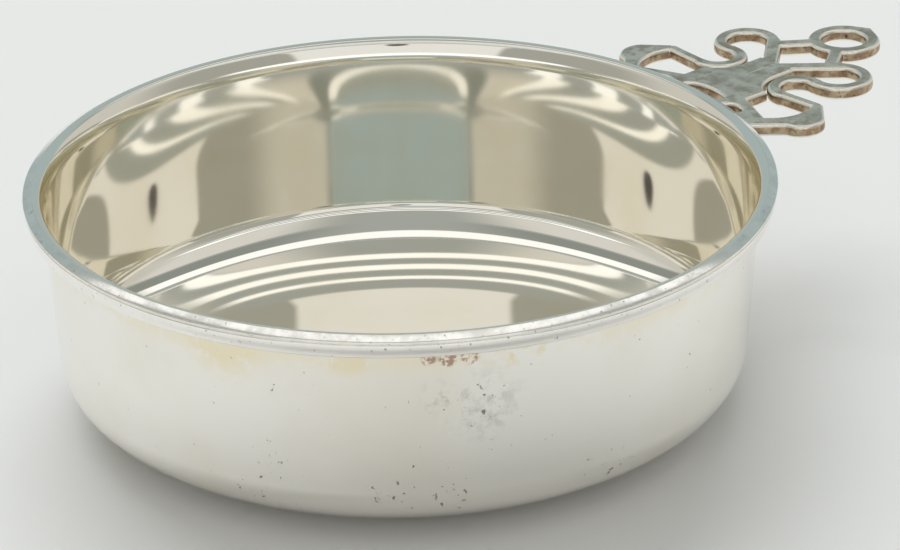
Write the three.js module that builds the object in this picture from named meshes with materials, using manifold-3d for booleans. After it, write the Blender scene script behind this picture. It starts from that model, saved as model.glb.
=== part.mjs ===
// Silver porringer: a shallow spun bowl with a dished base and upright sides, a moulded wire round its lip
// and one flat cast handle, pierced and scrolled, soldered to the side just below the wire.
// Millimetres, +Z up. The origin is the middle of the flat base and the handle points along +X.
import * as THREE from 'three';
import { mergeVertices } from 'three/addons/utils/BufferGeometryUtils.js';
import Module from 'manifold-3d';

// Bowl
const BOWL_HEIGHT = 40.5;
const WALL_RADIUS = 60.5;
const WALL_TAPER = 1.55;
const SHEET = 0.9;
const BOUGE_RADIUS = 7.2;
const BASE_RADIUS = 36;
const DISH_RISE = 5.7;
const DISH_SLOPE = 41;
const LIP_DEPTH = 3.2;
const LIP_FLARE = 1.8;

// Moulded wire round the lip
const WIRE_WIDTH = 0.95;
const WIRE_HEIGHT = 3.7;
const WIRE_FOOT = 1.6;
const BEAD_HEIGHT = 0.9;
const BEAD_GROOVE = 0.3;

// Soldered joints
const JOINT_GAP = 0.25;
const WIRE_FILLET = 0.6;
const HANDLE_FILLET = 1.3;

// Handle casting, reach measured outwards from the bowl's side and spread to either side of the middle
const HANDLE_DROP = 4.65;
const HANDLE_RISE = 0.8;
const HANDLE_THICKNESS = 2.6;
const EDGE_ROUND = 0.6;
const ROOT_SPREAD = 12.8;

const TIP_REACH = 45.2;
const TIP_RADIUS = 6.75;
const TIP_BAND = 2.7;
const TIP_BEAK = 0.8;

const LOOP_REACH = 31.9;
const LOOP_SPREAD = 11.9;
const LOOP_RADIUS = 6.2;
const SCROLL_BAND = 2.55;

const NOTCH_RADIUS = 2.9;
const NOTCH_ANGLE = 10;
const SLIT = 0.5;

const WAIST_REACH = 25.9;
const WAIST_BAND = 3.0;
const DIAMOND_BAND = 2.7;
const DIAMOND_REACH = 34.2;
const DIAMOND_ANGLE = 149;

const WEB_REACH = 12.4;
const WEB_SPREAD = 8.3;
const BAY_REACH = 9.0;
const BAY_SPREAD = 16.4;
const BAY_ARCH = 2.0;
const SPUR_REACH = 13.6;
const SPUR_SPREAD = 20.7;
const SPUR_ROUND = 4.3;
const SPUR_CUSP_ANGLE = 172;
const ARM_REACH = 19.5;
const ARM_SPREAD = 18.6;
const ARM_BAND = 2.2;

const EYE_REACH = 9.6;
const EYE_LENGTH = 9.6;
const EYE_WIDTH = 3.2;
const SIDE_EYE_REACH = 7.6;
const SIDE_EYE_SPREAD = 9.0;
const SIDE_EYE_LENGTH = 4.6;
const SIDE_EYE_WIDTH = 3.0;

// Fineness of the turned and cast surfaces
const TURN_STEPS = 72;
const PROFILE_STEPS = 5;
const CURVE_STEPS = 10;

const wasm = await Module();
wasm.setup();

// A closed mesh as a solid that can be joined and cut
function solid(geometry) {
  const bare = geometry.index ? geometry.toNonIndexed() : geometry.clone();
  bare.deleteAttribute('normal');
  bare.deleteAttribute('uv');
  const merged = mergeVertices(bare, 1e-5);
  return new wasm.Manifold(new wasm.Mesh({
    numProp: 3,
    vertProperties: new Float32Array(merged.attributes.position.array),
    triVerts: new Uint32Array(merged.index.array),
  }));
}

function geometryOf(body) {
  const mesh = body.getMesh();
  const geometry = new THREE.BufferGeometry();
  geometry.setAttribute('position', new THREE.BufferAttribute(mesh.vertProperties, 3));
  geometry.setIndex(new THREE.BufferAttribute(mesh.triVerts, 1));
  geometry.computeVertexNormals();
  return geometry;
}

// A profile of radius and height turned about the upright axis
function turned(profile) {
  const geometry = new THREE.LatheGeometry(profile.getPoints(PROFILE_STEPS), TURN_STEPS);
  geometry.rotateX(Math.PI / 2);
  return geometry;
}

// Outer radius of the straight side at a height above the base
const dishSlope = THREE.MathUtils.degToRad(DISH_SLOPE);
const bougeHeight = DISH_RISE + BOUGE_RADIUS * Math.cos(dishSlope);
const wallFoot = WALL_RADIUS - WALL_TAPER;
const flareFoot = BOWL_HEIGHT - LIP_DEPTH;
function wallRadius(height) {
  return wallFoot + WALL_TAPER * (height - bougeHeight) / (flareFoot - bougeHeight);
}

// Where the rounded corner passes into the dish, at a depth within the sheet
const bouge = wallFoot - BOUGE_RADIUS;
const bougeEnd = dishSlope - Math.PI / 2;
function dishTop(depth) {
  const round = BOUGE_RADIUS - depth;
  return new THREE.Vector2(bouge + round * Math.sin(dishSlope), bougeHeight - round * Math.cos(dishSlope));
}

// Where the dish, carried straight on, would meet the base
function dishFoot(depth) {
  const top = dishTop(depth);
  return top.x - (top.y - depth) / Math.tan(dishSlope);
}

// Bowl: flat base, dished up to a rounded corner, slightly tapered side and a lip that flares outwards
const lipRadius = WALL_RADIUS + LIP_FLARE;
const bowlProfile = new THREE.Path();
bowlProfile.moveTo(0, 0);
bowlProfile.lineTo(BASE_RADIUS, 0);
bowlProfile.quadraticCurveTo(dishFoot(0), 0, dishTop(0).x, dishTop(0).y);
bowlProfile.absarc(bouge, bougeHeight, BOUGE_RADIUS, bougeEnd, 0, false);
bowlProfile.lineTo(WALL_RADIUS, flareFoot);
bowlProfile.quadraticCurveTo(
  WALL_RADIUS + 0.1 * LIP_FLARE, flareFoot + 0.65 * LIP_DEPTH, lipRadius, BOWL_HEIGHT);
bowlProfile.lineTo(lipRadius - SHEET, BOWL_HEIGHT);
bowlProfile.quadraticCurveTo(
  WALL_RADIUS - SHEET + 0.1 * LIP_FLARE, flareFoot + 0.65 * LIP_DEPTH, WALL_RADIUS - SHEET, flareFoot);
bowlProfile.lineTo(wallFoot - SHEET, bougeHeight);
bowlProfile.absarc(bouge, bougeHeight, BOUGE_RADIUS - SHEET, 0, bougeEnd, true);
bowlProfile.quadraticCurveTo(dishFoot(SHEET), SHEET, BASE_RADIUS, SHEET);
bowlProfile.lineTo(0, SHEET);

// Rim wire: fits round the flare, with a bead at the lip, a fine groove and an ogee that runs in to the foot
const rimInner = lipRadius + JOINT_GAP;
const rimOuter = rimInner + WIRE_WIDTH;
const rimFoot = BOWL_HEIGHT - WIRE_HEIGHT;
const grooveHeight = BOWL_HEIGHT - BEAD_HEIGHT;
const footInner = WALL_RADIUS + JOINT_GAP;
const footOuter = footInner + WIRE_FOOT;
const wireProfile = new THREE.Path();
wireProfile.moveTo(footInner, rimFoot);
wireProfile.lineTo(footOuter, rimFoot);
wireProfile.bezierCurveTo(
  footOuter + 0.2 * WIRE_WIDTH, rimFoot + 0.4 * (WIRE_HEIGHT - BEAD_HEIGHT),
  rimOuter, grooveHeight - 0.35 * (WIRE_HEIGHT - BEAD_HEIGHT),
  rimOuter, grooveHeight - BEAD_GROOVE);
wireProfile.lineTo(rimOuter - BEAD_GROOVE, grooveHeight);
wireProfile.bezierCurveTo(
  rimOuter + 0.05 * BEAD_HEIGHT, grooveHeight + 0.1 * BEAD_HEIGHT,
  rimOuter + 0.05 * BEAD_HEIGHT, BOWL_HEIGHT,
  rimInner + 0.5 * WIRE_WIDTH, BOWL_HEIGHT);
wireProfile.lineTo(rimInner, BOWL_HEIGHT);
wireProfile.quadraticCurveTo(
  footInner + 0.1 * LIP_FLARE, flareFoot + 0.65 * LIP_DEPTH, footInner, flareFoot);
wireProfile.lineTo(footInner, rimFoot);

// Solder run in the corner under the wire
const wireSeam = rimFoot - JOINT_GAP;
const seamProfile = new THREE.Path();
seamProfile.moveTo(wallRadius(wireSeam) + JOINT_GAP, wireSeam - WIRE_FILLET);
seamProfile.lineTo(wallRadius(wireSeam) + JOINT_GAP + WIRE_FILLET, wireSeam);
seamProfile.lineTo(wallRadius(wireSeam) + JOINT_GAP, wireSeam);
seamProfile.lineTo(wallRadius(wireSeam) + JOINT_GAP, wireSeam - WIRE_FILLET);

// Handle levels and the arc on which its root meets the side of the bowl
const handleTop = BOWL_HEIGHT - HANDLE_DROP;
const handleBottom = handleTop - HANDLE_THICKNESS;
const seat = wallRadius(handleTop) + JOINT_GAP;
const rootAngle = Math.asin(ROOT_SPREAD / seat);

function point(reach, spread) {
  return new THREE.Vector2(seat + reach, spread);
}

// One flat member of the casting, with its top and bottom edges rounded over
function cast(shape) {
  const geometry = new THREE.ExtrudeGeometry(shape, {
    depth: HANDLE_THICKNESS - 2 * EDGE_ROUND,
    curveSegments: CURVE_STEPS,
    bevelEnabled: true,
    bevelThickness: EDGE_ROUND,
    bevelSize: EDGE_ROUND,
    bevelOffset: -EDGE_ROUND,
    bevelSegments: 1,
  });
  geometry.translate(0, 0, handleBottom + EDGE_ROUND);
  return solid(geometry);
}

// A straight band with round ends
function straightBand(start, end, band, side) {
  const a = new THREE.Vector2(start.x, side * start.y);
  const b = new THREE.Vector2(end.x, side * end.y);
  const heading = Math.atan2(b.y - a.y, b.x - a.x);
  const shape = new THREE.Shape();
  shape.absarc(b.x, b.y, band / 2, heading - Math.PI / 2, heading + Math.PI / 2, false);
  shape.absarc(a.x, a.y, band / 2, heading + Math.PI / 2, heading + 1.5 * Math.PI, false);
  shape.closePath();
  return shape;
}

function eye(centre, side, width, length) {
  const hole = new THREE.Path();
  hole.absellipse(centre.x, side * centre.y, width / 2, length / 2, 0, 2 * Math.PI, false, 0);
  return hole;
}

// Angle round a circle at which a line from an outside point touches it
function tangent(centre, radius, from, turn) {
  const line = from.clone().sub(centre);
  return line.angle() + turn * Math.acos(radius / line.length());
}

// Centres of the ring at the tip, the two side loops and the two notches that set the loops off.
// One band turns round loop and notch in an S, so their centres are a loop and a notch radius apart
const tip = point(TIP_REACH, 0);
const loop = point(LOOP_REACH, LOOP_SPREAD);
const loopMiddle = LOOP_RADIUS - SCROLL_BAND / 2;
const notchMiddle = NOTCH_RADIUS + SCROLL_BAND / 2;
const notchTurn = THREE.MathUtils.degToRad(NOTCH_ANGLE);
const notch = new THREE.Vector2(
  loop.x - (loopMiddle + notchMiddle) * Math.cos(notchTurn),
  loop.y - (loopMiddle + notchMiddle) * Math.sin(notchTurn));
const scallop = NOTCH_RADIUS + SCROLL_BAND + SLIT;

// The bar that carries a loop runs from the waist to the loop's foot
const waist = point(WAIST_REACH, 0);
const loopFoot = new THREE.Vector2(loop.x + 0.71 * loopMiddle, loop.y - 0.71 * loopMiddle);
const barHeart = waist.clone().lerp(loopFoot, 0.32);

// Web: runs out from the bowl with a spur on each side and narrows to a waist between two scallops, past
// each of which it keeps a shoulder under the root of the loop
const webEdge = point(WEB_REACH, WEB_SPREAD);
const bay = point(BAY_REACH, BAY_SPREAD);
const spur = point(SPUR_REACH, SPUR_SPREAD);
const spurFrom = THREE.MathUtils.degToRad(SPUR_CUSP_ANGLE);
const cusp = new THREE.Vector2(SPUR_ROUND, 0).rotateAround(new THREE.Vector2(), spurFrom).add(spur);
const arm = point(ARM_REACH, ARM_SPREAD);
const spurEnd = new THREE.Vector2(arm.x + ARM_BAND / 2, arm.y + 0.3 * ARM_BAND);
const spurInner = new THREE.Vector2(arm.x - ARM_BAND / 2, arm.y - 0.1 * ARM_BAND);
const spurTo = tangent(spur, SPUR_ROUND, spurEnd, 1);
const sweep = new THREE.Vector2(seat + 0.33 * (cusp.x - seat), ROOT_SPREAD + 0.3 * (cusp.y - ROOT_SPREAD));
const bayCrown = new THREE.Vector2((bay.x + spurInner.x - BAY_ARCH) / 2, spurInner.y + BAY_ARCH);
const scallopStart = Math.asin((WEB_SPREAD - notch.y) / scallop);
const shoulder = new THREE.Vector2(notch.x + 0.8 * scallop, notch.y - scallop);
const web = new THREE.Shape();
web.absarc(0, 0, seat, rootAngle, -rootAngle, true);
web.quadraticCurveTo(sweep.x, -sweep.y, cusp.x, -cusp.y);
web.absarc(spur.x, -spur.y, SPUR_ROUND, -spurFrom, -spurTo, false);
web.lineTo(spurEnd.x, -spurEnd.y);
web.lineTo(spurInner.x, -spurInner.y);
web.quadraticCurveTo(bayCrown.x, -bayCrown.y, bay.x, -bay.y);
web.lineTo(webEdge.x, -webEdge.y);
web.absarc(notch.x, -notch.y, scallop, Math.PI + scallopStart, Math.PI / 2, true);
web.lineTo(shoulder.x, -shoulder.y);
web.lineTo(barHeart.x, -barHeart.y);
web.lineTo(waist.x + WAIST_BAND / 3, 0);
web.lineTo(barHeart.x, barHeart.y);
web.lineTo(shoulder.x, shoulder.y);
web.absarc(notch.x, notch.y, scallop, -Math.PI / 2, -Math.PI - scallopStart, true);
web.lineTo(webEdge.x, webEdge.y);
web.lineTo(bay.x, bay.y);
web.quadraticCurveTo(bayCrown.x, bayCrown.y, spurInner.x, spurInner.y);
web.lineTo(spurEnd.x, spurEnd.y);
web.absarc(spur.x, spur.y, SPUR_ROUND, spurTo, spurFrom, false);
web.quadraticCurveTo(sweep.x, sweep.y, seat * Math.cos(rootAngle), ROOT_SPREAD);
web.closePath();
web.holes.push(eye(point(EYE_REACH, 0), 1, EYE_WIDTH, EYE_LENGTH));
web.holes.push(eye(point(SIDE_EYE_REACH, SIDE_EYE_SPREAD), 1, SIDE_EYE_WIDTH, SIDE_EYE_LENGTH));
web.holes.push(eye(point(SIDE_EYE_REACH, SIDE_EYE_SPREAD), -1, SIDE_EYE_WIDTH, SIDE_EYE_LENGTH));

// Ring at the tip, drawn out to a point
const beakAngle = Math.acos(TIP_RADIUS / (TIP_RADIUS + TIP_BEAK));
const tipRing = new THREE.Shape();
tipRing.absarc(tip.x, 0, TIP_RADIUS, beakAngle, 2 * Math.PI - beakAngle, false);
tipRing.lineTo(tip.x + TIP_RADIUS + TIP_BEAK, 0);
tipRing.closePath();
const tipHole = new THREE.Path();
tipHole.absarc(tip.x, 0, TIP_RADIUS - TIP_BAND, 0, 2 * Math.PI, false);
tipRing.holes.push(tipHole);

// Scroll: one band that turns round the loop and back round the notch, its arcs joined where they touch
const scrollFrom = -0.3 * Math.PI;
const turnOver = notchTurn - 0.03;
function scroll(side) {
  const from = side * scrollFrom;
  const over = side * (Math.PI + turnOver);
  const end = -side * Math.PI;
  const shape = new THREE.Shape();
  shape.absarc(loop.x, side * loop.y, LOOP_RADIUS, from, over, side < 0);
  shape.absarc(notch.x, side * notch.y, NOTCH_RADIUS, side * turnOver, end, side > 0);
  shape.absarc(notch.x, side * notch.y, NOTCH_RADIUS + SCROLL_BAND, end, side * turnOver, side < 0);
  shape.absarc(loop.x, side * loop.y, LOOP_RADIUS - SCROLL_BAND, over, from, side > 0);
  shape.closePath();
  return shape;
}

// The casting: each side has a scroll, the bar that carries its loop, the arm from its notch to the spur
// and one bar of the diamond behind the tip ring
const armRoot = new THREE.Vector2(notch.x - notchMiddle, notch.y - SCROLL_BAND / 3);
const armEnd = armRoot.clone().lerp(arm, 1.05);
const diamondSlope = (loopFoot.y - waist.y) / (loopFoot.x - waist.x);
const diamond = new THREE.Vector2(seat + DIAMOND_REACH, diamondSlope * (DIAMOND_REACH - WAIST_REACH));
const diamondTurn = THREE.MathUtils.degToRad(DIAMOND_ANGLE);
const diamondEnd = new THREE.Vector2(
  tip.x + (TIP_RADIUS - TIP_BAND / 2) * Math.cos(diamondTurn),
  (TIP_RADIUS - TIP_BAND / 2) * Math.sin(diamondTurn));
let casting = cast(web).add(cast(tipRing));
for (const side of [1, -1]) {
  casting = casting
    .add(cast(scroll(side)))
    .add(cast(straightBand(waist, loopFoot, WAIST_BAND, side)))
    .add(cast(straightBand(armRoot, armEnd, ARM_BAND, side)))
    .add(cast(straightBand(diamond, diamondEnd, DIAMOND_BAND, side)));
}

// The casting rises a little towards its tip, turned about the top edge of its root
const handleGeometry = geometryOf(casting);
handleGeometry.translate(-seat, 0, -handleTop);
handleGeometry.rotateY(-THREE.MathUtils.degToRad(HANDLE_RISE));
handleGeometry.translate(seat, 0, handleTop);

// Solder run under the root of the handle
const rootSeam = handleBottom - JOINT_GAP;
const rootProfile = new THREE.Path();
rootProfile.moveTo(seat, rootSeam - HANDLE_FILLET);
rootProfile.lineTo(seat + HANDLE_FILLET, rootSeam);
rootProfile.lineTo(seat, rootSeam);
rootProfile.lineTo(seat, rootSeam - HANDLE_FILLET);
const sector = new THREE.Shape();
sector.moveTo(0, 0);
sector.lineTo(2 * seat, -2 * seat * Math.tan(rootAngle));
sector.lineTo(2 * seat, 2 * seat * Math.tan(rootAngle));
sector.closePath();
const sectorGeometry = new THREE.ExtrudeGeometry(sector, { depth: 2 * HANDLE_FILLET, bevelEnabled: false });
sectorGeometry.translate(0, 0, rootSeam - 1.5 * HANDLE_FILLET);
const rootFillet = solid(turned(rootProfile)).intersect(solid(sectorGeometry));

// Silver, brighter on the polished bowl and wire, darker in the recesses of the casting
const bowlSilver = new THREE.MeshStandardMaterial({ color: 0xd9d5c8, metalness: 1, roughness: 0.16 });
const wireSilver = new THREE.MeshStandardMaterial({ color: 0xd2d1c9, metalness: 1, roughness: 0.2 });
const castSilver = new THREE.MeshStandardMaterial({ color: 0xb3b4a8, metalness: 1, roughness: 0.3 });
const solderSilver = new THREE.MeshStandardMaterial({ color: 0x9c9482, metalness: 1, roughness: 0.4 });

const porringer = new THREE.Group();
function piece(name, geometry, material) {
  const mesh = new THREE.Mesh(geometry, material);
  mesh.name = name;
  porringer.add(mesh);
}
piece('bowl', turned(bowlProfile), bowlSilver);
piece('rim_wire', turned(wireProfile), wireSilver);
piece('rim_solder', turned(seamProfile), solderSilver);
piece('handle', handleGeometry, castSilver);
piece('handle_solder', geometryOf(rootFillet), solderSilver);

export default porringer;
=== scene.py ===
import bpy
import mathutils
import numpy as np
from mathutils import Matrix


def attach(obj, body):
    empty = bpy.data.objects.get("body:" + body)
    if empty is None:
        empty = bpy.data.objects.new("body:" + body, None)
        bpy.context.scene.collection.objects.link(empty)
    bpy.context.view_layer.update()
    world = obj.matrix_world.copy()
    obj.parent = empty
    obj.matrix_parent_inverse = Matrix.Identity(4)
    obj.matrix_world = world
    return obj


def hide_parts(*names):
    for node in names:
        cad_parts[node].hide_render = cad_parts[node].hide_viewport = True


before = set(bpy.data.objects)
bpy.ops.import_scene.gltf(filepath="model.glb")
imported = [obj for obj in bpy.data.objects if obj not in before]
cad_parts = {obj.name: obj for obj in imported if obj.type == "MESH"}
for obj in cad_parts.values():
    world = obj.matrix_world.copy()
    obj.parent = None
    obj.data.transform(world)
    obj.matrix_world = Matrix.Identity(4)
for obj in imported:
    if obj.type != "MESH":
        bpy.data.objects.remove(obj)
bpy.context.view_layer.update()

# Bowl: one sheet of silver spun to a dished base, a rounded corner and an upright side that flares
# at the lip. It is polished bright outside and has toned to a warm grey inside.
MM = 0.001
BOWL_HEIGHT = 40.5
WALL_RADIUS = 60.5
WALL_TAPER = 1.55
SHEET = 0.9
BOUGE_RADIUS = 7.2
INNER_CORNER = 3.0
BASE_RADIUS = 36
DISH_RISE = 5.7
DISH_SLOPE = np.radians(41)
LIP_DEPTH = 3.2
LIP_FLARE = 1.8
LIP_INSET = 0.3
LIP_EDGE = 0.1
LIP_ROUND = 1.7
FLARE_ROUND = 9.0
FLARE_TURN = np.radians(24.7)
BOWL_TURNS = 360
LIP_RADIUS = WALL_RADIUS + LIP_FLARE
WALL_FOOT = WALL_RADIUS - WALL_TAPER
FLARE_FOOT = BOWL_HEIGHT - LIP_DEPTH
KNOCKS = [
    (-52, -29, 12.5, 11), (-40, -45, 10, 7), (-31, -51, 10, 7), (-3, -60, 10, 8),
    (-27, -53.5, 25, 8), (20, 56, 14, 10), (55, -22, 12, 9)]
RUBS = [(-27, -53.5, 26, 9), (-33, -50.2, 28, 5)]
TAN_PATCHES = [(-55, -24, 35, 9), (-22, -56, 37, 7), (-44, -41, 35.5, 5)]
STAINS = [(-34.5, -49.3, 35.2, 1.7), (-32, -50.9, 35.1, 2.1), (-29, -52.6, 35.2, 2.1)]


def line(start, end, steps):
    """Points from start up to, but without, end: start plus an even share of the way."""
    share = np.arange(steps)[:, None] / steps
    return np.asarray(start) + share * (np.asarray(end) - np.asarray(start))


def arc(centre, radius, start, end, steps):
    """Points on a circle: centre plus radius times cosine and sine of angles from start to end."""
    turn = start + (end - start) * np.arange(steps) / steps
    return np.asarray(centre) + radius * np.stack([np.cos(turn), np.sin(turn)], axis=1)


def bend(start, pull, end, steps):
    """Points on a curve from start to end drawn towards pull: each weighted by squares of the way."""
    share = np.arange(steps)[:, None] / steps
    rest = 1 - share
    drawn = 2 * share * rest * np.asarray(pull)
    return rest ** 2 * np.asarray(start) + drawn + share ** 2 * np.asarray(end)


def metal_object(name, points, quads, corners):
    """A smooth mesh from points in millimetres, four-sided faces and three-sided faces."""
    mesh = bpy.data.meshes.new(name)
    mesh.from_pydata((points * MM).tolist(), [], quads.tolist() + corners.tolist())
    mesh.shade_smooth()
    mesh.update()
    piece = bpy.data.objects.new(name, mesh)
    bpy.context.scene.collection.objects.link(piece)
    return piece


def revolved_grid(profile, turns):
    """Each profile point carried round the upright axis: radius times cosine and sine, at its height."""
    turn = np.arange(turns) * 2 * np.pi / turns
    radius = profile[:, 0, None]
    height = np.broadcast_to(profile[:, 1, None], (len(profile), turns))
    return np.stack([radius * np.cos(turn), radius * np.sin(turn), height], axis=2)


def revolved_vessel(name, profile, turns):
    """A revolved profile that starts and ends on the axis, where its first and last points become poles."""
    rings = revolved_grid(profile[1:-1], turns)
    count = len(rings)
    index = np.arange(count * turns).reshape(count, turns)
    after = np.roll(index, -1, axis=1)
    quads = np.stack([index[:-1], after[:-1], after[1:], index[1:]], axis=2).reshape(-1, 4)
    low = np.full(turns, count * turns)
    corners = np.concatenate([
        np.stack([low, after[0], index[0]], axis=1),
        np.stack([low + 1, index[-1], after[-1]], axis=1)])
    poles = np.array([[0, 0, profile[0, 1]], [0, 0, profile[-1, 1]]])
    return metal_object(name, np.concatenate([rings.reshape(-1, 3), poles]), quads, corners)


bouge = WALL_FOOT - BOUGE_RADIUS
bouge_height = DISH_RISE + BOUGE_RADIUS * np.cos(DISH_SLOPE)
slope = np.array([np.cos(DISH_SLOPE), np.sin(DISH_SLOPE)])
fall = np.array([np.sin(DISH_SLOPE), -np.cos(DISH_SLOPE)])
dish_top = np.array([bouge, bouge_height]) + BOUGE_RADIUS * fall
dish_foot = dish_top - dish_top[1] / slope[1] * slope
floor_top = dish_top - SHEET * fall
floor_foot = floor_top - (floor_top[1] - SHEET) / slope[1] * slope
lean = np.arctan2(WALL_TAPER, FLARE_FOOT - bouge_height)
inward = np.array([-np.cos(lean), np.sin(lean)])
lip_top = np.array([LIP_RADIUS - LIP_INSET, BOWL_HEIGHT])
edge_heart = lip_top - (0, LIP_EDGE)
lip_heart = lip_top - (0, LIP_ROUND)
flare_pull = (WALL_RADIUS + 0.1 * LIP_FLARE, FLARE_FOOT + 0.65 * LIP_DEPTH)
flare_side = np.array([-np.cos(FLARE_TURN), np.sin(FLARE_TURN)])
flare_heart = lip_heart - (FLARE_ROUND - LIP_ROUND) * flare_side
flare_end = flare_heart + FLARE_ROUND * inward
corner_heart = np.linalg.solve(
    [inward, -fall],
    [INNER_CORNER + flare_end @ inward, INNER_CORNER - floor_top @ fall])
outer_profile = np.concatenate([
    line((0, 0), (BASE_RADIUS, 0), 12),
    bend((BASE_RADIUS, 0), dish_foot, dish_top, 24),
    arc((bouge, bouge_height), BOUGE_RADIUS, DISH_SLOPE - np.pi / 2, 0, 24),
    line((WALL_FOOT, bouge_height), (WALL_RADIUS, FLARE_FOOT), 24),
    bend((WALL_RADIUS, FLARE_FOOT), flare_pull, edge_heart + (LIP_EDGE, 0), 16),
    arc(edge_heart, LIP_EDGE, 0, np.pi / 2, 6)])
inner_profile = np.concatenate([
    arc(lip_heart, LIP_ROUND, np.pi / 2, np.pi - FLARE_TURN, 20),
    arc(flare_heart, FLARE_ROUND, np.pi - FLARE_TURN, np.pi - lean, 20),
    line(flare_end, corner_heart - INNER_CORNER * inward, 30),
    arc(corner_heart, INNER_CORNER, -lean, DISH_SLOPE - np.pi / 2, 30),
    bend(corner_heart + INNER_CORNER * fall, floor_foot, (BASE_RADIUS, SHEET), 36),
    line((BASE_RADIUS, SHEET), (0, SHEET), 12),
    [(0, SHEET)]])
bowl_profile = np.concatenate([outer_profile, inner_profile])
bowl = revolved_vessel("silver_bowl", bowl_profile, BOWL_TURNS)


class Field:
    """A value that varies over a surface: one socket, whose sums and products are Math nodes."""

    def __init__(self, socket):
        self.socket = socket

    def node(self, kind, settings, inputs, output=0):
        """Another node of a kind in the same tree: its settings first, then its values or links."""
        tree = self.socket.id_data
        made = tree.nodes.new(kind)
        for key, value in settings.items():
            setattr(made, key, value)
        for key, value in inputs.items():
            if isinstance(value, Field):
                tree.links.new(value.socket, made.inputs[key])
            else:
                made.inputs[key].default_value = value
        return Field(made.outputs[output])

    def math(self, operation, first, second):
        """One Math node on two values."""
        return self.node("ShaderNodeMath", {"operation": operation}, {0: first, 1: second})

    def __add__(self, other):
        return self.math("ADD", self, other)

    def __radd__(self, other):
        return self.math("ADD", other, self)

    def __sub__(self, other):
        return self.math("SUBTRACT", self, other)

    def __rsub__(self, other):
        return self.math("SUBTRACT", other, self)

    def __mul__(self, other):
        return self.math("MULTIPLY", self, other)

    def __rmul__(self, other):
        return self.math("MULTIPLY", other, self)

    def ease(self, low, high):
        """0 below low, 1 above high and a smooth step between them."""
        return self.node("ShaderNodeMapRange", {"interpolation_type": "SMOOTHSTEP"},
                         {"Value": self, "From Min": low, "From Max": high})

    def noise(self, scale, detail, roughness):
        """Cloudy noise on this position, in waves of so many to the metre."""
        return self.node("ShaderNodeTexNoise", {},
                         {"Vector": self, "Scale": scale, "Detail": detail, "Roughness": roughness})

    def along(self, axis):
        """One of the three parts of this position, in metres."""
        return self.node("ShaderNodeSeparateXYZ", {}, {0: self}, axis)

    def spots(self, places):
        """A sum of spots: each is 1 at a place in millimetres and falls smoothly to 0 at its reach."""
        total = 0
        for x, y, z, reach in places:
            centre = (x * MM, y * MM, z * MM)
            gap = self.node("ShaderNodeVectorMath", {"operation": "DISTANCE"}, {0: self, 1: centre}, 1)
            total = total + (1 - gap.ease(0.1 * reach * MM, reach * MM))
        return total

    def mixed(self, first, second):
        """A colour that goes from first to second as this value goes from 0 to 1."""
        return self.node("ShaderNodeMix", {"data_type": "RGBA"}, {"Factor": self, 6: first, 7: second}, 2)


def metal(name):
    """A fresh material: its shader node and the Object position over the surface."""
    material = bpy.data.materials.new(name)
    material.use_nodes = True
    tree = material.node_tree
    shader = tree.nodes["Principled BSDF"]
    shader.inputs["Metallic"].default_value = 1
    position = Field(tree.nodes.new("ShaderNodeTexCoord").outputs["Object"])
    return material, shader, position


def connect(shader, **sockets):
    """Links values to the shader's sockets by name, with underscores for spaces."""
    for name, value in sockets.items():
        value.socket.id_data.links.new(value.socket, shader.inputs[name.replace("_", " ")])


def rgb(red, green, blue):
    """A solid colour from its three parts."""
    return (red, green, blue, 1)


bright_silver, shader, position = metal("bright_silver")
cloud = position.noise(35, 4, 0.55)
grain = position.noise(420, 4, 0.65)
toned = cloud.ease(0.42, 0.75)
pits = (position.noise(850, 3, 0.6) + 0.1 * position.spots(KNOCKS)).ease(0.70, 0.77)
rubbed = position.spots(RUBS) * grain.ease(0.45, 0.65)
under_rim = position.along(2).ease(0.0315, 0.0355)
tan = (position.spots(TAN_PATCHES) + 0.6 * under_rim) * (cloud + grain).ease(0.88, 1.1)
stain = position.spots(STAINS).ease(0.1, 0.5) * position.noise(900, 4, 0.7).ease(0.43, 0.53)
clean = toned.mixed(rgb(0.92, 0.9, 0.85), rgb(0.88, 0.85, 0.77))
warm = tan.mixed(clean, rgb(0.88, 0.8, 0.6))
marked = stain.mixed(warm, rgb(0.48, 0.33, 0.26))
dulled = rubbed.mixed(marked, rgb(0.68, 0.67, 0.64))
connect(shader,
        Base_Color=pits.mixed(dulled, rgb(0.3, 0.27, 0.22)),
        Roughness=0.10 + 0.10 * toned + 0.15 * rubbed + 0.1 * stain + 0.3 * pits)
bowl.data.materials.append(bright_silver)

toned_silver, shader, position = metal("toned_silver")
toned = position.noise(45, 4, 0.55).ease(0.4, 0.75)
connect(shader,
        Base_Color=toned.mixed(rgb(0.94, 0.92, 0.86), rgb(0.92, 0.885, 0.8)),
        Roughness=0.02 + 0.035 * toned + 0.035 * position.along(2).ease(0.011, 0.016))
bowl.data.materials.append(toned_silver)
inside = np.concatenate([
    np.repeat(np.arange(len(bowl_profile) - 3) >= len(outer_profile), BOWL_TURNS),
    np.repeat([False, True], BOWL_TURNS)])
bowl.data.polygons.foreach_set("material_index", inside.astype(np.int32))
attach(bowl, "root")
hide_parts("bowl")

# Rim wire: a moulded silver wire bent round the flared lip and soldered on, with a bead at the top,
# a fine groove and an ogee that runs in to its foot. Its top is burnished into the lip.
WIRE_RADIUS = 63.5
WIRE_HEIGHT = 3.7
WIRE_FOOT_RADIUS = 62.75
WIRE_TOP_RADIUS = 62.0
WIRE_BITE = 0.3
FOOT_ROUND = 0.2
BEAD_HEIGHT = 1.1
BEAD_GROOVE = 0.3
WIRE_TURNS = 480


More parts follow.
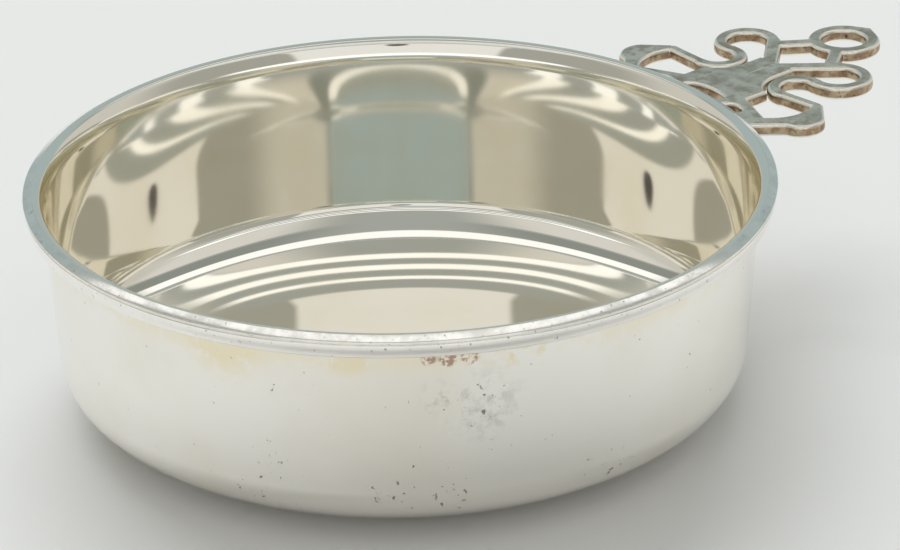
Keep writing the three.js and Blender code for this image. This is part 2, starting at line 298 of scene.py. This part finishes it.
def revolved_ring(name, profile, turns):
    """A revolved profile that closes on itself, such as a wire's section carried round the axis."""
    rings = revolved_grid(profile, turns)
    index = np.arange(len(profile) * turns).reshape(len(profile), turns)
    after = np.roll(index, -1, axis=1)
    above = np.roll(index, -1, axis=0)
    quads = np.stack([index, after, np.roll(after, -1, axis=0), above], axis=2).reshape(-1, 4)
    return metal_object(name, rings.reshape(-1, 3), quads, np.zeros((0, 3), dtype=int))


def sweep(start, pull, push, end, steps):
    """Points on a curve from start to end with two pulls: each weighted by cubes of the way."""
    share = np.arange(steps)[:, None] / steps
    rest = 1 - share
    return (rest ** 3 * np.asarray(start) + 3 * rest ** 2 * share * np.asarray(pull)
            + 3 * rest * share ** 2 * np.asarray(push) + share ** 3 * np.asarray(end))


rim_foot = BOWL_HEIGHT - WIRE_HEIGHT
ogee = WIRE_HEIGHT - BEAD_HEIGHT
wire_back = WALL_RADIUS - WIRE_BITE
wire_foot = np.array([WIRE_FOOT_RADIUS, rim_foot])
bead = np.array([WIRE_RADIUS, BOWL_HEIGHT - BEAD_HEIGHT])
groove_low = bead - (0.1, BEAD_GROOVE)
groove_high = bead - (0.3, 0)
bead_side = bead + (-0.01, 0.18)
bead_shoulder = bead + (-0.14, 0.4)
wire_top = np.array([WIRE_TOP_RADIUS, BOWL_HEIGHT])
wire_profile = np.concatenate([
    line((wire_back, rim_foot), wire_foot, 4),
    arc(wire_foot + (0, FOOT_ROUND), FOOT_ROUND, -np.pi / 2, -0.1, 5),
    sweep(wire_foot + FOOT_ROUND, wire_foot + (0.3, 0.4 * ogee),
          bead - (0.05, 0.45 * ogee), groove_low, 16),
    bend(groove_low, bead - (0.6, 0.1), groove_high, 6),
    bend(groove_high, bead + (0, 0.05), bead_side, 6),
    bend(bead_side, bead + (-0.04, 0.35), bead_shoulder, 6),
    bend(bead_shoulder, bead + (-0.82, 0.77), wire_top, 14),
    line(wire_top, wire_top - 0.1, 3),
    line(wire_top - 0.1, (wire_back, FLARE_FOOT), 8),
    line((wire_back, FLARE_FOOT), (wire_back, rim_foot), 3)])
rim_wire = revolved_ring("moulded_rim_wire", wire_profile, WIRE_TURNS)

wire_silver, shader, position = metal("wire_silver")
bead_top = position.along(2).ease(0.0393, 0.0398)
film = position.noise(220, 4, 0.65).ease(0.35, 0.68) * (0.3 + 0.7 * bead_top)
specks = position.noise(1200, 2, 0.5).ease(0.66, 0.76)
worn = film.mixed(rgb(0.95, 0.93, 0.89), rgb(0.83, 0.81, 0.76))
connect(shader,
        Base_Color=specks.mixed(worn, rgb(0.45, 0.43, 0.4)),
        Roughness=0.08 + 0.08 * film + 0.2 * specks)
rim_wire.data.materials.append(wire_silver)
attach(rim_wire, "root")
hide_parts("rim_wire")

# Solder run under the wire: a thin line of hard solder drawn into the corner between wire and side.
# It is hollow on its face, as solder sets, and has dulled more than the silver beside it.
SEAM_BITE = 0.1
SEAM_HOLLOW = 0.2
SEAM_DROP = 0.8
SEAM_REACH = 0.9
seam_heart = np.array([WALL_RADIUS - SEAM_BITE, rim_foot])
seam_low = seam_heart - (0, SEAM_DROP)
seam_out = seam_heart + (SEAM_REACH, 0)
seam_back = seam_heart - (SEAM_HOLLOW, 0)
seam_profile = np.concatenate([
    bend(seam_low, seam_heart + (SEAM_HOLLOW, -SEAM_HOLLOW), seam_out, 8),
    line(seam_out, seam_back, 3),
    line(seam_back, seam_low, 3)])
rim_solder = revolved_ring("rim_solder_line", seam_profile, BOWL_TURNS)

dull_solder, shader, position = metal("dull_solder")
film = position.noise(300, 4, 0.6)
connect(shader,
        Base_Color=film.mixed(rgb(0.7, 0.68, 0.62), rgb(0.5, 0.46, 0.38)),
        Roughness=0.25 + 0.2 * film)
rim_solder.data.materials.append(dull_solder)
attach(rim_solder, "root")
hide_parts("rim_solder")

# Handle: one flat silver casting, pierced and scrolled, its edges filed round. It is soldered to the
# side of the bowl under the wire and rises a little towards the ring at its tip.
HANDLE_TOP = 35.85
HANDLE_THICKNESS = 2.6
HANDLE_RISE = np.radians(0.8)
EDGE_ROUND = 0.9
SEAT = 60.6655
ROOT_SPREAD = 12.8
ROOT_ANGLE = np.arcsin(ROOT_SPREAD / SEAT)
TIP_RADIUS = 6.75
TIP_BAND = 2.7
TIP_BEAK = 0.8
LOOP_RADIUS = 6.2
SCROLL_BAND = 2.55
NOTCH_RADIUS = 2.9
NOTCH_ANGLE = np.radians(10)
SLIT = 0.5
WAIST_REACH = 25.9
WAIST_BAND = 3.0
DIAMOND_REACH = 34.2
DIAMOND_BAND = 2.7
DIAMOND_ANGLE = np.radians(149)
WEB_REACH = 12.4
WEB_SPREAD = 8.3
SPUR_ROUND = 4.3
SPUR_CUSP_ANGLE = np.radians(172)
BAY_ARCH = 2.0
ARM_BAND = 2.2
EYE_HALVES = (1.6, 4.8)
SIDE_EYE_HALVES = (1.5, 2.3)
MEMBER_FILLET = 0.3
CELL = 0.23
CAST_LOW = np.array([58.0, -27.0, -1.75])
CAST_SPAN = (57, 54, 3.5)


def at(reach, spread):
    """A place in plan: so far out from the handle's seat and so far to the side of its axis."""
    return np.array([SEAT + reach, spread])


def compass(angle):
    """One step in plan at an angle: its cosine and sine."""
    return np.array([np.cos(angle), np.sin(angle)])


def to_outline(plan, outline):
    """Signed distance in plan to a closed outline, negative inside: the least distance to its edges,
    with the sign from how many edges a ray to the side crosses."""
    start = outline
    edge = np.roll(outline, -1, axis=0) - start
    away = plan[:, None, :] - start
    share = np.clip((away * edge).sum(2) / (edge ** 2).sum(1), 0, 1)
    nearest = np.sqrt(((away - share[..., None] * edge) ** 2).sum(2).min(1))
    side = away[..., 1] >= 0
    next_side = away[..., 1] - edge[:, 1] >= 0
    across = edge[:, 0] * away[..., 1] - edge[:, 1] * away[..., 0]
    crossed = (side != next_side) & ((across > 0) == (edge[:, 1] < 0))
    return np.where(crossed.sum(1) % 2 == 1, -nearest, nearest)


def to_band(plan, start, end, width):
    """Signed distance in plan to a straight band with round ends."""
    way = end - start
    share = np.clip((plan - start) @ way / (way @ way), 0, 1)
    return np.linalg.norm(plan - start - share[:, None] * way, axis=1) - width / 2


def to_bent_band(plan, centre, radius, width, start, end):
    """Signed distance in plan to a band round a centre, from a start angle to an end angle."""
    away = plan - centre
    middle = (start + end) / 2
    turn = (np.arctan2(away[:, 1], away[:, 0]) - middle + np.pi) % (2 * np.pi) - np.pi
    turn = middle + np.clip(turn, start - middle, end - middle)
    nearest = centre + radius * np.stack([np.cos(turn), np.sin(turn)], axis=1)
    return np.linalg.norm(plan - nearest, axis=1) - width / 2


def to_eye(plan, centre, halves):
    """Signed distance, nearly, to an oval: how far its scaled radius is from 1, over the slope of that."""
    away = (plan - centre) / halves
    scaled = np.linalg.norm(away, axis=1) + 1e-9
    steepness = np.linalg.norm(away / halves, axis=1) / scaled
    return (scaled - 1) / np.maximum(steepness, 1e-6)


tip = at(45.2, 0)
loop = at(31.9, 11.9)
waist = at(WAIST_REACH, 0)
arm = at(19.5, 18.6)
spur = at(13.6, 20.7)
bay = at(9.0, 16.4)
eye = at(9.6, 0)
side_eye = at(7.6, 9.0)
loop_middle = LOOP_RADIUS - SCROLL_BAND / 2
notch_middle = NOTCH_RADIUS + SCROLL_BAND / 2
notch = loop - (loop_middle + notch_middle) * compass(NOTCH_ANGLE)
scallop = NOTCH_RADIUS + SCROLL_BAND + SLIT
scallop_start = np.arcsin((WEB_SPREAD - notch[1]) / scallop)
loop_foot = loop + 0.71 * loop_middle * np.array([1, -1])
bar_heart = waist + 0.32 * (loop_foot - waist)
bar_rise = loop_foot[1] / (loop_foot[0] - waist[0])
diamond = waist + (DIAMOND_REACH - WAIST_REACH) * np.array([1, bar_rise])
diamond_end = tip + (TIP_RADIUS - TIP_BAND / 2) * compass(DIAMOND_ANGLE)
arm_root = notch - (notch_middle, SCROLL_BAND / 3)
spur_end = arm + (0.5 * ARM_BAND, 0.3 * ARM_BAND)
spur_inner = arm - (0.5 * ARM_BAND, 0.1 * ARM_BAND)
bay_crown = np.array([(bay[0] + spur_inner[0] - BAY_ARCH) / 2, spur_inner[1] + BAY_ARCH])
to_spur_end = spur_end - spur
spur_turn = np.arccos(SPUR_ROUND / np.linalg.norm(to_spur_end))
spur_to = np.arctan2(to_spur_end[1], to_spur_end[0]) + spur_turn
cusp = spur + SPUR_ROUND * compass(SPUR_CUSP_ANGLE)
root = SEAT * compass(ROOT_ANGLE)
root_pull = (SEAT + 0.33 * (cusp[0] - SEAT), ROOT_SPREAD + 0.3 * (cusp[1] - ROOT_SPREAD))
half_web = np.concatenate([
    arc((0, 0), SEAT - 0.6, -0.02, ROOT_ANGLE, 8),
    bend(root, root_pull, cusp, 10),
    arc(spur, SPUR_ROUND, SPUR_CUSP_ANGLE, spur_to, 12),
    [spur_end],
    bend(spur_inner, bay_crown, bay, 10),
    [bay, at(WEB_REACH, WEB_SPREAD)],
    arc(notch, scallop, -np.pi - scallop_start, -np.pi / 2, 14),
    [notch - (0, scallop), notch + (0.8 * scallop, -scallop), bar_heart, (waist[0] + 1, -0.2)]])
beak = np.arccos(TIP_RADIUS / (TIP_RADIUS + TIP_BEAK))
tip_outline = np.concatenate([
    arc(tip, TIP_RADIUS, beak, 2 * np.pi - beak, 48),
    [tip + (TIP_RADIUS + TIP_BEAK, 0)]])


def handle_plan(plan):
    """Signed distance in plan to the casting: the nearest of its members, which are drawn on one half and
    mirrored, with a small fillet where two of them meet."""
    half = np.stack([plan[:, 0], np.abs(plan[:, 1])], axis=1)
    eyes = np.minimum(to_eye(half, eye, EYE_HALVES), to_eye(half, side_eye, SIDE_EYE_HALVES))
    tip_hole = TIP_RADIUS - TIP_BAND - np.linalg.norm(half - tip, axis=1)
    members = [
        np.maximum(to_outline(half, half_web), -eyes),
        np.maximum(to_outline(half, tip_outline), tip_hole),
        to_bent_band(half, loop, loop_middle, SCROLL_BAND, -0.3 * np.pi, np.pi + NOTCH_ANGLE),
        to_bent_band(half, notch, notch_middle, SCROLL_BAND, -np.pi, NOTCH_ANGLE),
        to_band(half, waist, loop_foot, WAIST_BAND),
        to_band(half, arm_root, arm, ARM_BAND),
        to_band(half, diamond, diamond_end, DIAMOND_BAND)]
    edge = members[0]
    for member in members[1:]:
        near = np.maximum(MEMBER_FILLET - np.abs(edge - member), 0)
        edge = np.minimum(edge, member) - near ** 2 / (4 * MEMBER_FILLET)
    return edge


def rounded(edge, level):
    """Signed distance to a plate: from its distance in plan and its distance above or below the flats,
    with a round of EDGE_ROUND where side and flat meet."""
    across = edge + EDGE_ROUND
    upright = level + EDGE_ROUND
    corner = np.hypot(np.maximum(across, 0), np.maximum(upright, 0))
    return corner + np.minimum(np.maximum(across, upright), 0) - EDGE_ROUND


def handle_field(points):
    """Signed distance to the casting lying flat, with its middle at height 0."""
    return rounded(handle_plan(points[:, :2]), np.abs(points[:, 2]) - HANDLE_THICKNESS / 2)


def netted(value, low, cell):
    """The surface where a gridded value is zero: each cell that it passes through gets one vertex, at
    the mean of the places where the cell's edges cross it, and each crossed edge joins four cells."""
    counts = np.array(value.shape)
    nodes = low + cell * np.stack(np.meshgrid(*[np.arange(n) for n in counts], indexing="ij"), axis=3)
    total = np.zeros((*(counts - 1), 3))
    hits = np.zeros(counts - 1)
    crossings = []
    for axis in range(3):
        first = np.moveaxis(value, axis, 0)[:-1]
        second = np.moveaxis(value, axis, 0)[1:]
        crossed = (first < 0) != (second < 0)
        share = np.where(crossed, first / np.where(crossed, first - second, 1), 0)
        place = np.moveaxis(nodes, axis, 0)[:-1].copy()
        place[..., axis] += share * cell
        place *= crossed[..., None]
        into = np.moveaxis(total, axis, 0)
        tally = np.moveaxis(hits, axis, 0)
        rows, columns = crossed.shape[1] - 1, crossed.shape[2] - 1
        for i in (0, 1):
            for j in (0, 1):
                into += place[:, i:rows + i, j:columns + j]
                tally += crossed[:, i:rows + i, j:columns + j]
        crossings.append((crossed, first < 0))
    used = hits > 0
    number = np.cumsum(used.ravel()).reshape(used.shape) - 1
    points = total[used] / hits[used][:, None]
    quads = []
    for axis, (crossed, outward) in enumerate(crossings):
        label = np.moveaxis(number, axis, 0)
        inner = crossed[:, 1:-1, 1:-1]
        cells = [label[:, :-1, :-1], label[:, 1:, :-1], label[:, 1:, 1:], label[:, :-1, 1:]]
        faces = np.stack(cells, axis=3)[inner]
        flip = outward[:, 1:-1, 1:-1][inner] == (axis == 1)
        quads.append(np.where(flip[:, None], faces[:, ::-1], faces))
    return points, np.concatenate(quads)


def slope_of(field, points, step):
    """Steepest direction of a field at points, from differences half a step to either side."""
    halves = step / 2 * np.eye(3)
    return np.stack([(field(points + half) - field(points - half)) / step for half in halves], axis=1)


cast_x, cast_y, cast_z = [
    low + CELL * np.arange(int(span / CELL) + 1) for low, span in zip(CAST_LOW, CAST_SPAN)]
plan_x, plan_y = np.meshgrid(cast_x, cast_y, indexing="ij")
plan_edge = handle_plan(np.stack([plan_x.ravel(), plan_y.ravel()], axis=1)).reshape(plan_x.shape)
plate = rounded(plan_edge[..., None], np.abs(cast_z) - HANDLE_THICKNESS / 2)
cast_points, cast_quads = netted(plate, CAST_LOW, CELL)
for settle in range(2):
    steep = slope_of(handle_field, cast_points, 0.02)
    reach = handle_field(cast_points) / np.maximum((steep ** 2).sum(1), 0.25)
    cast_points = cast_points - np.clip(reach, -0.1, 0.1)[:, None] * steep
facing = slope_of(handle_field, cast_points, 0.02)
facing = facing / np.linalg.norm(facing, axis=1)[:, None]
along = cast_points[:, 0] - SEAT
above = cast_points[:, 2] - HANDLE_THICKNESS / 2
seated = np.stack([
    SEAT + along * np.cos(HANDLE_RISE) - above * np.sin(HANDLE_RISE),
    cast_points[:, 1],
    HANDLE_TOP + along * np.sin(HANDLE_RISE) + above * np.cos(HANDLE_RISE)], axis=1)
handle = metal_object("pierced_handle", seated, cast_quads, np.zeros((0, 3), dtype=int))
handle.data.attributes.new("wall", "FLOAT", "POINT").data.foreach_set(
    "value", (1 - np.abs(facing[:, 2])).astype(np.float32))

cast_silver, shader, position = metal("cast_silver")
wall = position.node("ShaderNodeAttribute", {"attribute_name": "wall"}, {}, 2)
cloud = position.noise(160, 5, 0.6)
patch = position.noise(420, 4, 0.6)
specks = position.noise(1500, 3, 0.6).ease(0.55, 0.7)
# The rounds between the flats and the sides get a near-white cream colour: a painted highlight along the
# filed edges, not the silver's own colour.
painted_edge_highlight = wall.ease(0.04, 0.16) * (1 - wall.ease(0.5, 0.75))
brown = wall.ease(0.6, 0.9)
flat_tone = cloud.ease(0.38, 0.66).mixed(rgb(0.82, 0.75, 0.64), rgb(0.5, 0.44, 0.36))
tarnished = (0.7 * patch.ease(0.47, 0.66)).mixed(flat_tone, rgb(0.44, 0.34, 0.24))
top_tone_and_edge_highlight = painted_edge_highlight.mixed(tarnished, rgb(0.97, 0.94, 0.87))
rust = patch.ease(0.38, 0.62).mixed(rgb(0.58, 0.47, 0.32), rgb(0.34, 0.22, 0.14))
side_tone = specks.mixed(rust, rgb(0.1, 0.08, 0.06))
connect(shader,
        Base_Color=brown.mixed(top_tone_and_edge_highlight, side_tone),
        Roughness=0.16 + 0.14 * cloud + 0.15 * brown)
handle.data.materials.append(cast_silver)
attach(handle, "root")
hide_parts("handle")

# Solder run under the handle: a fillet of hard solder in the corner between the casting's root and the
# side of the bowl, as wide as the root and drawn out thin at its two ends.
ROOT_FILLET = 1.3
FILLET_SEAT = 60.45
root_top = HANDLE_TOP - HANDLE_THICKNESS
swing = np.linspace(-ROOT_ANGLE, ROOT_ANGLE, 61)
swell = np.sqrt(np.clip(1 - (swing / ROOT_ANGLE) ** 8, 0, 1))
bow = np.linspace(0, np.pi / 2, 9)
section = np.concatenate([
    np.stack([1 - np.sin(bow), np.cos(bow) - 1], axis=1)[::-1],
    [(1.0, 0.35), (-0.4, 0.35), (-0.4, -1.0)]])
leg = ROOT_FILLET * swell[:, None]
radius = FILLET_SEAT + leg * section[:, 0]
fillet = np.stack([
    radius * np.cos(swing)[:, None],
    radius * np.sin(swing)[:, None],
    root_top + leg * section[:, 1]], axis=2)
rings = fillet[1:-1]
index = np.arange(rings.shape[0] * rings.shape[1]).reshape(rings.shape[:2])
after = np.roll(index, -1, axis=1)
end = np.full(rings.shape[1], index.size)
handle_solder = metal_object(
    "handle_solder_fillet", np.concatenate([rings.reshape(-1, 3), fillet[[0, -1], 0]]),
    np.stack([index[1:], after[1:], after[:-1], index[:-1]], axis=2).reshape(-1, 4),
    np.concatenate([
        np.stack([index[0], after[0], end], axis=1),
        np.stack([end + 1, after[-1], index[-1]], axis=1)]))
handle_solder.data.materials.append(dull_solder)
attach(handle_solder, "root")
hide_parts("handle_solder")

# Floor: a plain pale sheet that runs far out past the bowl on every side. It lies a hair under the
# base, so that the two faces don't fight, and keeps the bowl's shadow.
FLOOR_HALF = 6.0
FLOOR_GAP = 0.0001
floor_corners = FLOOR_HALF * np.array([(-1, -1, 0), (1, -1, 0), (1, 1, 0), (-1, 1, 0)])
floor_mesh = bpy.data.meshes.new("pale_floor")
floor_mesh.from_pydata(floor_corners.tolist(), [], [(0, 1, 2, 3)])
floor = bpy.data.objects.new("pale_floor", floor_mesh)
floor.location.z = -FLOOR_GAP
bpy.context.scene.collection.objects.link(floor)
pale_sheet = bpy.data.materials.new("pale_sheet")
pale_sheet.use_nodes = True
sheet_shader = pale_sheet.node_tree.nodes["Principled BSDF"]
sheet_shader.inputs["Base Color"].default_value = rgb(0.8, 0.8, 0.8)
sheet_shader.inputs["Roughness"].default_value = 0.6
floor_mesh.materials.append(pale_sheet)

# Studio: a dim room with a pale screen low on the near side, a lamp and narrow bright slots overhead
# and a cooler far side, which polished silver shows as bands. A broad softbox behind the bowl throws
# the soft shadow in front. Levels are angles up from the near horizon, over the top to the far one.
VIEW_TURN = np.radians(38.4)
STRIP_BEND = 0.85
STRIP_EDGE = 0.01
SCREEN_TOP = 0.60
SLOTS = [(0.75, 0.80), (0.91, 0.995), (1.10, 1.19)]
HAZE = (1.2, 1.44)
SHADE = (1.47, 1.645)
LAMP = (1.645, 1.77)
SOFTBOX_ENERGY = 2.12
SOFTBOX_ANGLE = np.radians(55)
SOFTBOX_BACK = 0.95
SOFTBOX_LEFT = 0.2
MIRROR_BOUNCES = 32
world = bpy.data.worlds.new("studio")
bpy.context.scene.world = world
world.use_nodes = True
tree = world.node_tree
direction = Field(tree.nodes.new("ShaderNodeTexCoord").outputs["Generated"])


def towards(x, y, z):
    """How far a direction points along another: their dot product."""
    return direction.node("ShaderNodeVectorMath", {"operation": "DOT_PRODUCT"},
                          {0: direction, 1: (x, y, z)}, 1)


away_x, away_y = np.sin(VIEW_TURN), np.cos(VIEW_TURN)
left_x, left_y = -np.cos(VIEW_TURN), np.sin(VIEW_TURN)
near = towards(-away_x, -away_y, 0)
rise = towards(0, 0, 1)
side = near.math("ABSOLUTE", towards(left_x, left_y, 0), 0)
pitch = rise.math("ARCTAN2", rise, near)
level = pitch * (1 - STRIP_BEND * side * side)
middle = 1 - side.ease(0.62, 0.72)


def strip(low, high):
    """1 between two levels above the near horizon and 0 outside them, with soft edges."""
    over = level.ease(low - STRIP_EDGE, low + STRIP_EDGE)
    past = level.ease(high - STRIP_EDGE, high + STRIP_EDGE)
    return over * (1 - past) * middle


walls = near.ease(-0.2, 0.3).mixed(rgb(0.6, 0.59, 0.54), rgb(0.38, 0.38, 0.34))
deep = near.ease(-0.75, -0.45).mixed(rgb(0.38, 0.46, 0.47), rgb(0.38, 0.4, 0.38))
room = (level.ease(SCREEN_TOP, SCREEN_TOP + 0.04) * middle).mixed(walls, deep)
haze = (strip(*HAZE) * side.ease(0.15, 0.45)).mixed(room, rgb(0.7, 0.68, 0.64))
shade = (strip(*SHADE) * side.ease(0.1, 0.4)).mixed(haze, rgb(0.27, 0.29, 0.27))
panel = (1 - level.ease(SCREEN_TOP, SCREEN_TOP + 0.03)) * (1 - side.ease(0.52, 0.56)) * near.ease(-0.1, 0.1)
screen = panel.mixed(shade, rgb(0.82, 0.81, 0.78))
horizon = pitch.ease(-0.01, 0.01) * (1 - pitch.ease(0.12, 0.14)) * (1 - side.ease(0.8, 0.9))
slots = sum(strip(*edges) for edges in SLOTS) + horizon
lamp = strip(*LAMP) * (1 - pitch.ease(2.2, 2.35))
glow = slots.mixed(screen, rgb(1.16, 1.16, 1.14))
lit = lamp.mixed(glow, rgb(1.08, 1.08, 1.06))
lens = towards(-0.89 * away_x, -0.89 * away_y, 0.456).ease(0.9975, 0.9988)
sky = lens.mixed(lit, rgb(0.08, 0.07, 0.07))
tree.links.new(sky.socket, tree.nodes["Background"].inputs["Color"])
softbox_data = bpy.data.lights.new("softbox", "SUN")
softbox_data.energy = SOFTBOX_ENERGY
softbox_data.angle = SOFTBOX_ANGLE
softbox = bpy.data.objects.new("softbox", softbox_data)
softbox_aim = mathutils.Vector((
    -(SOFTBOX_BACK * away_x + SOFTBOX_LEFT * left_x),
    -(SOFTBOX_BACK * away_y + SOFTBOX_LEFT * left_y),
    -1.0))
softbox.rotation_euler = softbox_aim.to_track_quat("-Z", "Y").to_euler()
softbox.visible_glossy = False
bpy.context.scene.collection.objects.link(softbox)
bpy.context.scene.cycles.max_bounces = MIRROR_BOUNCES
bpy.context.scene.cycles.glossy_bounces = MIRROR_BOUNCES

# Camera: a long lens above the near side of the bowl at the photograph's angle, with the handle at
# the far right. It is turned, tilted and banked a little to frame the bowl as the photograph does.
LENS_LENGTH = 144.67
STAND_BACK = 0.55846
STAND_HEIGHT = 0.28518
YAW = 0.01439
TILT = 0.44189
BANK = -0.01991
camera_data = bpy.data.cameras.new("camera")
camera_data.lens = LENS_LENGTH
camera_data.sensor_width = 36
camera_data.clip_end = 50
camera = bpy.data.objects.new("camera", camera_data)
bpy.context.scene.collection.objects.link(camera)
heading = np.pi / 2 - YAW - VIEW_TURN
forward = np.array([np.cos(heading) * np.cos(TILT), np.sin(heading) * np.cos(TILT), -np.sin(TILT)])
right = np.cross(forward, (0, 0, 1))
right = right / np.linalg.norm(right)
up = np.cross(right, forward)
placing = np.eye(4)
placing[:3, 0] = np.cos(BANK) * right + np.sin(BANK) * up
placing[:3, 1] = np.cos(BANK) * up - np.sin(BANK) * right
placing[:3, 2] = -forward
placing[:3, 3] = (-STAND_BACK * away_x, -STAND_BACK * away_y, STAND_HEIGHT)
camera.matrix_world = mathutils.Matrix(placing.tolist())
bpy.context.scene.camera = camera
bpy.context.scene.view_settings.view_transform = "Standard"
